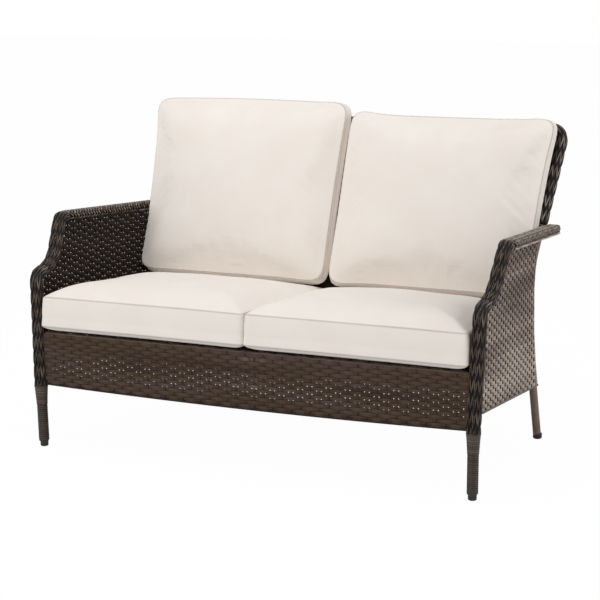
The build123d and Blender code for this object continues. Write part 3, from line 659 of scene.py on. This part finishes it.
def braided_sleeve(name, centre, length, wanted, section, count, tilt, fullness, lift, thickness, spacing,
                   tone, ridge, nodes, seed, scale=None):
    """A tubular braid. count strands wind each way round the section at a steady tilt. Their height is a
    flattened cosine of the place around, opposite for the two ways, so each column of one strand's width
    shows strands that lean one way. A near-black core lies under them, painted shade in the gaps. Strands
    that pass under are painted darker, painted shade, and ridge paints a highlight along each strand's outer
    face and darkens its inner face."""
    rng = np.random.default_rng(seed)
    places, outline = section
    girth = places[-1]
    side, out = directions(centre, wanted)
    pitch = girth / count
    stations = np.linspace(0, length[-1], int(length[-1] / spacing) + 1)
    way = np.repeat([-1.0, 1.0], count)[:, None]
    index = np.tile(np.arange(count), 2)[:, None]
    around = index * pitch + way * stations[None] * np.tan(tilt)
    height = np.tanh(braid_flatness * np.cos(np.pi * around / pitch) * way) / np.tanh(braid_flatness)

    def along_line(values):
        return resample(values, length, stations)

    def round_section(turn, size, shift):
        """Places across and out at a turn round the section, moved along its normal, and that normal."""
        found = resample(outline, places, np.mod(turn, girth))
        return size * found[..., :2] + found[..., 2:] * shift, found[..., 2:]

    size = along_line(np.ones((len(centre), 2)) if scale is None else scale)
    middle, sideways, away = along_line(centre), along_line(side), along_line(out)
    flat, face = round_section(around, size, (lift * (height - 1) - thickness)[..., None])
    path = middle + sideways * flat[..., :1] + away * flat[..., 1:]
    face = sideways * face[..., :1] + away * face[..., 1:]
    run = unit(np.gradient(path, axis=1))
    wide = unit(np.cross(run, face))
    high = np.cross(wide, run)
    angle = (np.arange(braid_corners) + 0.5) * 2 * np.pi / braid_corners
    half = fullness * pitch * np.cos(tilt)
    rings = path[..., None, :] + ring_points(wide * half, high * thickness, angle)
    # Painted shade and highlight: strands are darker where they pass under and lighter where they lie on top.
    shade = tone + braid_painted_shade * (height - 0.75) + braid_variation * (rng.random((2 * count, 1)) - 0.5)
    patches = rng.random((2 * count, len(stations) // mottled_stations + 1))
    shade += braid_mottling * (patches.repeat(mottled_stations, 1)[:, :len(stations)] - 0.5)
    strips = Strips()
    for strand in range(2 * count):
        strips.add(rings[strand], stations[:, None] + index[strand] * 0.43, angle * 0.002,
                   shade[strand][:, None] + ridge * np.sin(angle))
    # The core is near black: painted shade seen through the gaps between strands.
    turn = np.arange(core_corners) * girth / core_corners
    kept = np.arange(0, len(stations), core_every)
    flat = round_section(turn, size[kept, None], -(2 * lift + thickness) * core_depth)[0]
    strips.add(middle[kept, None] + sideways[kept, None] * flat[..., :1] + away[kept, None] * flat[..., 1:],
               0, 0, 0)
    strips.make(name, plaited_resin, nodes)


band_section = rounded_outline(0.036, 0.025, 0.009, 72)
for word, sign in both_sides:
    foot, bend, elbow, hollow, crest, rear = arm_points(sign)
    start = foot + (bend - foot) * band_bottom / bend[2]
    band_line, band_length = rounded_line(np.array([start, bend, elbow, hollow, crest,
                                                    arm_place(sign, band_end_step)]),
                                          [0.300, 0.022, 0.090, 0.022], line_spacing)
    braided_sleeve("braided_%s_front_band" % word, band_line, band_length, x_direction, band_section,
                   count=20, tilt=np.radians(7.5), fullness=0.39, lift=0.0014, thickness=0.0019,
                   spacing=0.0036, tone=0.13, ridge=0.52, nodes=[word + "_front_band"], seed=3)

# Arm tops: flat plaited sleeves on the arm tubes, with slanted strands that meet in a herringbone.
# Their front ends narrow into the bands, the rear ends are rounded and pass the back stiles, and a thin pale
# strand binds the lower outer edge.
arm_width = 0.045
arm_front_step = 0.154
arm_rear_step = 0.640
arm_rear_rounding = 0.018
arm_front_tuck = 0.024
arm_section = rounded_outline(arm_width, 0.024, 0.009, 84)
for word, sign in both_sides:
    arm_ends = np.array([arm_place(sign, arm_front_step), arm_place(sign, arm_rear_step)])
    arm_line, arm_length = rounded_line(arm_ends, [], line_spacing)
    # In the photo the left arm top stands 2 mm higher.
    arm_line[:, 2] += 0.002 * (sign < 0)
    to_end = arm_length[-1] - arm_length
    into_end = np.clip(arm_rear_rounding - to_end, 0, None)
    inset = arm_rear_rounding - np.sqrt(np.clip(arm_rear_rounding ** 2 - into_end ** 2, 0, None))
    tucked = np.clip(1 - arm_length / arm_front_tuck, 0, 1) ** 2
    scale = np.stack([1 - inset / (arm_width / 2) - 0.24 * tucked,
                      1 - 0.25 * (inset / arm_rear_rounding) ** 2 - 0.12 * tucked], -1)
    # The left arm top is painted darker than the right, painted shade, and the strands of both carry a strong
    # painted highlight on their crests.
    braided_sleeve("braided_%s_arm_top" % word, arm_line, arm_length, x_direction, arm_section, count=12,
                   tilt=np.radians(37), fullness=0.34, lift=0.0022, thickness=0.0023, spacing=0.0026,
                   tone=0.09 + 0.07 * sign, ridge=0.80, nodes=[word + "_arm_top"], seed=4, scale=scale)
    side, out = directions(arm_line, x_direction)
    edge = (arm_line + side * sign * 0.0212 - out * 0.0108)[:-12:4]
    bound_edge("%s_arm_edge_strand" % word, edge, 0.95, radius=0.0022)

# Braid of the back: one plait of long slanted strands round both stiles and the top rail.
# It starts above the arms, turns the corners of the back and hides the tubes.
stile_bend = np.array([0.5765, front_line + 0.575, 0.479])
stile_corner = np.array([0.620, front_line + 0.728, 0.852])
stile_start_height = 0.599
stile_start = on_line(stile_start_height, (stile_bend[2], stile_bend), (stile_corner[2], stile_corner))
flip = np.array([-1.0, 1.0, 1.0])
braid_section = rounded_outline(0.034, 0.034, 0.0169, 64)
braid_line, braid_length = rounded_line(np.array([stile_start * flip, stile_corner * flip, stile_corner,
                                                  stile_start]), [0.034, 0.034], 0.0020)
back_plane_normal = unit(np.cross(x_direction, (stile_corner - stile_bend) * (0, 1, 1)))
braided_sleeve("braided_back_edge", braid_line, braid_length, back_plane_normal, braid_section, count=16,
               tilt=np.radians(9), fullness=0.38, lift=0.0015, thickness=0.0021, spacing=0.0040, tone=0.26,
               ridge=0.50, nodes=["left_stile_edge", "right_stile_edge", "top_edge"], seed=5)

# Front legs: thin strand wound round the tubes in tight turns, and flared wound collars under the bands.
# The winding is 5.5 mm from turn to turn, nailed at the foot and tucked under the collar.
wound_resin = strand_material("extruded_resin_wound_strand", [
    (0.0, "#14100e"), (0.4, "#302824"), (0.75, "#4c423b"), (1.0, "#84786c")], 0.42, 0.2, 0.25)
wound_corners = 40
wound_step = 0.0006
leg_low, leg_high = 0.0140, 0.1215
collar_low, collar_high, collar_rim = 0.1195, 0.1722, 0.1690
edge_reach = 0.0022


def wound_turns(name, base, axis, heights, radii, pitch, depth, painted_groove_shade, painted_crest_highlight, nodes):
    """A wound sleeve: a surface of turning whose radius rises as a half circle over each helical turn. Its
    tone rises with the same half circle: painted shade in the grooves and a painted highlight on the turns.
    """
    angle = np.arange(wound_corners) * 2 * np.pi / wound_corners
    turns = heights[:, None] / pitch + angle / (2 * np.pi)
    ridge = np.sqrt(np.clip(1 - (2 * np.mod(turns, 1.0) - 1) ** 2, 0, 1))
    radius = radii[:, None] - depth * (1 - ridge)
    side = unit(x_direction - axis * (axis @ x_direction))
    other = np.cross(axis, side)
    centre = base + heights[:, None] * axis
    points = centre[:, None] + radius[..., None] * ring_points(side, other, angle)
    # A number for each turn that looks like chance: the fraction of a large multiple of a sine.
    chance = np.mod(np.sin(np.floor(turns) * 91.7) * 4375.85, 1.0)
    # Painted shade and highlight: darkest in the grooves between turns and lightest on their tops.
    shade = painted_groove_shade + (painted_crest_highlight - painted_groove_shade) * ridge + 0.15 * (chance - 0.5)
    strips = Strips()
    strips.add(points, angle * 0.014, heights[:, None], shade)
    strips.make(name, wound_resin, nodes)


for word, sign in both_sides:
    foot, bend = arm_points(sign)[:2]
    axis = unit(bend - foot)
    wrap_heights = np.arange(leg_low, leg_high, wound_step)
    wrap_radii = 0.0145 - 0.0025 * np.exp(-((wrap_heights - leg_low) / edge_reach) ** 2)
    wound_turns("wound_%s_leg" % word, foot, axis, wrap_heights, wrap_radii, pitch=0.0055, depth=0.0019,
                painted_groove_shade=-0.04, painted_crest_highlight=0.70, nodes=[word + "_leg_wrap"])
    collar_heights = np.arange(collar_low, collar_high, wound_step)
    flare = 0.0152 + 0.0033 * ((collar_heights - collar_low) / 0.051) ** 1.3
    rim = np.exp(-((collar_heights - collar_rim) / edge_reach) ** 2) * 0.0006
    wound_turns("wound_%s_collar" % word, foot, axis, collar_heights, flare + rim, pitch=0.0046, depth=0.0014,
                painted_groove_shade=0.05, painted_crest_highlight=0.84, nodes=[word + "_leg_collar"])

# Seat cushions: loose boxed cushions of plain bone-coloured outdoor cloth over foam.
# Flat under, a sewn seam round the foot and the top of the boxing, and a full crown that the back cushions
# press lower at the rear.
points_around = 360
under_rings = 22
wall_rings = 25
over_rings = 59
smallest_ring = 0.01
under_width = 0.2
over_width = 0.25
seam_reach = 0.0020
seam_depth = 0.0016
seam_darkness = 0.55
pucker_spacing = 0.021
pucker_height = 0.0005
pucker_reach = 0.014
swell_length = 0.16
swell_height = 0.0016
settling_frames = 20
settling_cell = 0.012
settling_pressure = 4.0
held_depth = 0.04
# The cloth's threads are 0.5 mm apart, drawn 1.6 mm apart so that they show. Its seams are darker.
cushion_cloth, tree, shader = start_material("woven_acrylic_cushion_cloth", Roughness=0.85,
                                             Sheen_Weight=0.15, Sheen_Roughness=0.5)
where = place_on_object(tree)
warp, weft = [put(tree, "ShaderNodeTexWave", {"Vector": where, "Scale": 0.1 / 0.0016 * 3.14159,
                                              "Distortion": 0.6, "Detail": 1.0}, bands_direction=way)
              for way in "XZ"]
thread = put(tree, "ShaderNodeMath", {0: warp.outputs["Fac"], 1: weft.outputs["Fac"]}, operation="ADD")
tone = colour_steps(tree, noise(tree, where, 0.09, 3.0), [(0.3, "#ebe2da"), (0.7, "#ede6de")])
seam = put(tree, "ShaderNodeAttribute", attribute_name="shade").outputs["Fac"]
lined = put(tree, "ShaderNodeMix", {0: seam, 6: tone, 7: linear("#8d7d70")}, data_type="RGBA")
finish_surface(tree, shader, lined.outputs[2], thread.outputs["Value"], 0.12, 0.0003)


def cushion_outline(corners, bows, radius, count):
    """A four-cornered outline with bowed sides: straight between corners plus a parabola, then evened out and
    smoothed so that its corners are round."""
    line = []
    for start, stop, bow in zip(corners, np.roll(corners, -1, axis=0), bows):
        share = np.linspace(0, 1, 160, endpoint=False)[:, None]
        run = unit(stop - start)
        outward = np.array([run[1], -run[0]])
        line.append(start + (stop - start) * share + outward * bow * 4 * share * (1 - share))
    line = np.concatenate(line)
    closed = np.concatenate([line, line[:1]])
    length = length_along(closed)
    fine = 4 * count
    places = np.arange(fine) * length[-1] / fine
    even = resample(closed, length, places)
    spread = radius * 0.62 / (length[-1] / fine)
    wave = np.fft.fftfreq(fine) * fine
    soften = np.exp(-2 * (np.pi * wave * spread / fine) ** 2)
    smooth = np.real(np.fft.ifft(np.fft.fft(even, axis=0) * soften[:, None], axis=0))
    return smooth[::4], length[-1]


def ripple(points, wavelength, seed, waves=9):
    """Soft random swell from -1 to 1: a sum of sines in random directions."""
    rng = np.random.default_rng(seed)
    ways = unit(rng.normal(size=(waves, 3)))
    lengths = wavelength * rng.uniform(0.7, 1.6, waves)
    phases = rng.uniform(0, 2 * np.pi, waves)
    total = np.sin(points @ (ways / lengths[:, None] * 2 * np.pi).T + phases).sum(-1)
    return total / np.sqrt(waves)


def mesh_points(mesh):
    """The points of a mesh as rows of three."""
    points = np.zeros(len(mesh.vertices) * 3, np.float32)
    mesh.vertices.foreach_get("co", points)
    return points.reshape(-1, 3)


def evaluated(thing):
    return thing.evaluated_get(bpy.context.evaluated_depsgraph_get())


def blown_up(piece, cap):
    """The points of a piece's voxel copy, and how far each moves, up to the cap, when the copy is blown up as
    cloth without gravity."""
    skin = add_object("settling_skin", piece.data.copy())
    remesh = skin.modifiers.new("remesh", "REMESH")
    remesh.mode = "VOXEL"
    remesh.voxel_size = settling_cell
    coarse = bpy.data.meshes.new_from_object(evaluated(skin))
    skin.modifiers.clear()
    skin.data = coarse
    cloth = skin.modifiers.new("cloth", "CLOTH").settings
    cloth.quality = 5
    cloth.mass = 0.3
    cloth.use_pressure = True
    cloth.uniform_pressure_force = settling_pressure
    cloth.effector_weights.gravity = 0
    for step in range(1, settling_frames + 1):
        bpy.context.scene.frame_set(step)
    before = mesh_points(coarse)
    move = mesh_points(evaluated(skin).data) - before
    bpy.data.objects.remove(skin)
    bpy.context.scene.frame_set(1)
    length = np.linalg.norm(move, axis=1)[:, None]
    return before, move * np.minimum(1, cap / np.maximum(length, 1e-9))


def settle(piece, origin, ways, cap):
    """Lets the cover settle as cloth over its filling. The blown up copy's movement is carried back to the
    piece, weighted over the four nearest points. The piece holds still where it rests, and then keeps its
    sewn size along its own three directions."""
    points = mesh_points(piece.data)
    sewn = (points - origin) @ ways.T
    free = np.clip((sewn[:, 2:] - sewn[:, 2].min()) / held_depth, 0, 1)
    before, move = blown_up(piece, cap)
    batch = 3000
    for first in range(0, len(points), batch):
        part = points[first:first + batch]
        square = (part ** 2).sum(1)[:, None] + (before ** 2).sum(1)[None] - 2 * part @ before.T
        nearest = np.argpartition(square, 4, axis=1)[:, :4]
        weight = 1 / (np.take_along_axis(square, nearest, 1).clip(0) + (0.4 * settling_cell) ** 2)
        weight /= weight.sum(1)[:, None]
        points[first:first + batch] += (move[nearest] * weight[..., None]).sum(1) * free[first:first + batch]
    settled = (points - origin) @ ways.T
    share = (settled - settled.min(0)) / np.ptp(settled, axis=0)
    points = origin + (sewn.min(0) + share * np.ptp(sewn, axis=0)) @ ways
    piece.data.vertices.foreach_set("co", points.astype(np.float32).ravel())
    piece.data.update()


def sewn_cushion(node, origin, ways, outline, foot, boxing, foot_inset, foot_rise, crown, fullness, bulge,
                 ease, seed, cap, flare=0.0):
    """A boxed cushion on rings of one outline. The rings start at the middle of the underside, run out to the
    lower seam, up the bulging boxing to the upper seam, and in over a crown whose height is one minus a power
    of the way out. Seams are pinched in, with small puckers beside them. ways are its directions across, up
    and away from what it rests on. ease lowers the crown, and flare widens its top."""
    outline, girth = outline
    centre = outline.mean(0)
    top_seam = foot_rise + boxing
    under = (1 - smallest_ring) * (1 - np.linspace(0, 1, under_rings) ** 0.6)
    wall = np.linspace(0, 1, wall_rings + 1)[1:]
    over = (1 - smallest_ring) * np.linspace(0, 1, over_rings + 1)[1:] ** 1.7
    inset = np.concatenate([under, np.zeros(wall_rings), over])
    reach = np.linalg.norm(outline - centre, axis=1).mean()
    low = foot_rise * (1 - np.clip(under * reach / foot_inset, 0, 1) ** 0.7)
    height = np.concatenate([low, foot_rise + wall * boxing, top_seam + crown * (1 - (1 - over) ** fullness)])
    belly = np.concatenate([np.zeros(under_rings), bulge * np.sin(np.pi * wall), np.zeros(over_rings)])
    ring = centre + (outline - centre)[None] * (1 - inset)[:, None, None]
    normal = flat_normals(outline)
    normal *= np.sign((normal * (outline - centre)).sum(1))[:, None]
    lower, upper = under_width, under_width + boxing
    place = np.concatenate([np.linspace(0, 1, under_rings) * under_width, lower + wall * boxing,
                            upper + over * over_width])
    from_seams = place - np.array([[lower], [upper]])
    seam = np.exp(-(from_seams / seam_reach) ** 2).sum(0)
    near = np.exp(-np.abs(from_seams) / pucker_reach).sum(0)
    turn = np.arange(points_around) * girth / points_around
    pucker = np.sin(2 * np.pi * turn / pucker_spacing + 3 * slow_noise(turn, 0.06, seed))
    pucker *= slow_noise(turn, 0.05, seed + 1)
    outward = belly[:, None] - seam_depth * seam[:, None] + pucker_height * near[:, None] * pucker
    flat = ring + normal * outward[..., None]
    flat[..., 0] *= 1 + flare * np.clip(height / top_seam, 0, 1)[:, None]
    lifted = np.where(height[:, None] > top_seam, top_seam + (height[:, None] - top_seam) * ease(flat),
                      height[:, None])
    crown_share = np.clip((height - top_seam) / crown, 0, 1)[:, None]
    local = np.concatenate([flat, lifted[..., None]], -1)
    soft = ripple(local.reshape(-1, 3), swell_length, seed).reshape(len(height), points_around)
    local[..., 2] = foot + lifted + swell_height * soft * np.sqrt(crown_share)
    strips = Strips()
    strips.add(origin + local @ ways, turn, place[:, None], seam_darkness * np.clip(seam, 0, 1)[:, None])
    piece = strips.make("sewn_" + node, cushion_cloth, [node], node + "_body")
    settle(piece, origin, ways, cap)


def paired_outline(sign, foot_half, top_half, low, high, bows, radius):
    """Outline of the right or left one of two cushions side by side, 2 mm from the middle. bows are those of
    the foot, the outer side, the top and the inner side, and the left one runs the other way round."""
    inner = 0.002
    corners = np.array([(inner, low), (foot_half, low), (top_half, high), (inner, high)]) * (sign, 1)
    if sign < 0:
        return cushion_outline(corners[::-1], np.array(bows)[[2, 1, 0, 3]], radius, points_around)
    return cushion_outline(corners, bows, radius, points_around)


def rear_press(flat):
    """Full height in front, falling to about four tenths under the back cushion."""
    share = np.clip((flat[..., 1] - 0.30) / 0.22, 0, 1)
    return 1 - 0.62 * share * share * (3 - 2 * share)


for word, sign in both_sides:
    outline = paired_outline(sign, 0.602, 0.556, -0.030, 0.547, [-0.004, -0.004, -0.004, 0.0], 0.014)
    sewn_cushion(word + "_seat_cushion", deck_front, np.array([x_direction, deck_back, deck_up]),
                 outline, foot=0.0146, boxing=0.083, foot_inset=0.034, foot_rise=0.013, crown=0.041,
                 fullness=5.0, bulge=0.0026, ease=rear_press, seed=5 + sign, cap=0.006)

# Back cushions: loose boxed cushions of the same cloth, leaning on the woven back.
# They widen to the top, with fuller fronts and rounder corners, and the left one is plumper at its top.
lean = np.radians(20.9)
lean_origin = np.array([0.0, front_line + 0.4737, 0.424])
lean_front = np.array([0.0, -np.cos(lean), np.sin(lean)])
lean_up = np.array([0.0, np.sin(lean), np.cos(lean)])


def even_crown(flat):
    """The same fullness all over."""
    return np.ones(flat.shape[:-1])


for word, sign, wider, tall, top_bow, flare in (("left", -1, 0.004, 0.530, 0.009, 0.018),
                                                ("right", 1, 0.0, 0.509, -0.002, 0.008)):
    outline = paired_outline(sign, 0.584 + wider, 0.610 + wider, 0.0, tall, [0.003, -0.004, top_bow, 0.0],
                             0.048)
    sewn_cushion(word + "_back_cushion", lean_origin, np.array([x_direction, lean_up, lean_front]),
                 outline, foot=-0.069, boxing=0.032, foot_inset=0.060, foot_rise=0.022, crown=0.042,
                 fullness=2.8, bulge=0.0010, ease=even_crown, seed=15 + sign, cap=0.018, flare=flare)

# Studio: a plain white floor that meets a white backdrop, soft overhead light and two large soft lamps.
# The camera stands in front and to the right, a little above the seat, with a long lens.
floor_reach = 30
floor_glow = 0.98
world_light = 0.44
focal_length_in_pixels = 1708.12
photo_width_in_pixels = 600
sensor_width = 36.0
# The camera was fitted about a point 65.4 mm in front of the frame's origin.
fitted_origin_y = -0.0654
camera_place = Vector((1.8702, -4.1609 + fitted_origin_y, 1.2572))
camera_aim = Vector((0.01767, fitted_origin_y, 0.4030))

# The camera sees the matt floor as nearly pure white, with a share of its true shade left in it.
matt_white, tree, shader = start_material("matt_white_floor", Base_Color=linear("#fbfbfb"), Roughness=0.9,
                                          Specular_IOR_Level=0.1)
path = put(tree, "ShaderNodeLightPath")
seen = put(tree, "ShaderNodeMath", {0: path.outputs["Is Camera Ray"], 1: floor_glow}, operation="MULTIPLY")
glow = put(tree, "ShaderNodeEmission", {"Color": (1, 1, 1, 1), "Strength": 1.0})
joined = put(tree, "ShaderNodeMixShader", {0: seen.outputs["Value"], 1: shader.outputs["BSDF"],
                                           2: glow.outputs["Emission"]})
tree.links.new(joined.outputs["Shader"], tree.nodes["Material Output"].inputs["Surface"])
floor_mesh = bpy.data.meshes.new("floor")
floor_corners = [(x * floor_reach, y * floor_reach, 0) for x, y in ((-1, -1), (1, -1), (1, 1), (-1, 1))]
floor_mesh.from_pydata(floor_corners, [], [(0, 1, 2, 3)])
floor_mesh.materials.append(matt_white)
floor = add_object("floor", floor_mesh)

# The world is dimmer as a light than it looks to the camera and in reflections.
world = bpy.data.worlds.new("white_studio")
bpy.context.scene.world = world
world.use_nodes = True
tree = world.node_tree
path = put(tree, "ShaderNodeLightPath")
seen = put(tree, "ShaderNodeMath", {0: path.outputs["Is Camera Ray"], 1: path.outputs["Is Glossy Ray"]},
           operation="MAXIMUM")
strength = put(tree, "ShaderNodeMapRange", {"Value": seen.outputs["Value"], "To Min": world_light,
                                            "To Max": 1.0})
tree.links.new(strength.outputs["Result"], tree.nodes["Background"].inputs["Strength"])
tree.nodes["Background"].inputs["Color"].default_value = (1, 1, 1, 1)


def stand(name, data, place, aim):
    """Puts a lamp or a camera at a place, facing a point."""
    holder = add_object(name, data)
    holder.location = place
    holder.rotation_mode = "QUATERNION"
    holder.rotation_quaternion = (Vector(aim) - Vector(place)).to_track_quat("-Z", "Y")
    return holder


for name, place, aim, size, power in (("overhead_softbox", (-0.4, -1.0, 3.3), (0, 0, 0.4), 2.2, 43),
                                      ("front_softbox", (-1.3, -4.2, 2.0), (0, 0, 0.4), 2.2, 38),
                                      ("right_softbox", (4.0, 0.4, 1.9), (0.4, 0, 0.4), 2.0, 40)):
    lamp = bpy.data.lights.new(name, "AREA")
    lamp.size = size
    lamp.energy = power
    stand(name, lamp, place, aim)

camera_data = bpy.data.cameras.new("photo_camera")
camera_data.sensor_width = sensor_width
camera_data.lens = sensor_width * focal_length_in_pixels / photo_width_in_pixels
camera_data.clip_end = 100.0
bpy.context.scene.camera = stand("photo_camera", camera_data, camera_place, camera_aim)
bpy.context.scene.view_settings.view_transform = "Standard"
